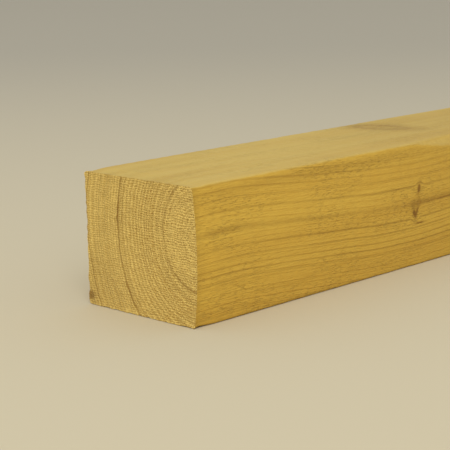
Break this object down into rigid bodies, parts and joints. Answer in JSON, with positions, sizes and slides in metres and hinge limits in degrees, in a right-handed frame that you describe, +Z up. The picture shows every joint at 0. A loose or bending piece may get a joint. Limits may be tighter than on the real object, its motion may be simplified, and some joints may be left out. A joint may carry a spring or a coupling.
{
  "type": "timber batten",
  "caption": "Straight length of rough-sawn softwood batten, square cut at both ends, for fixing cladding, boards or roofing to.",
  "frame": {"origin": "middle of the underside, at the bottom centre of the batten's box", "axes": "+X along the length, +Y towards the back face, +Z up from the underside"},
  "size_m": [1.8, 0.0508, 0.044],
  "materials": {
    "timber": "rough-sawn, preservative-treated softwood"
  },
  "bodies": {
    "root": {"batten": "timber"}
  },
  "joints": []
}
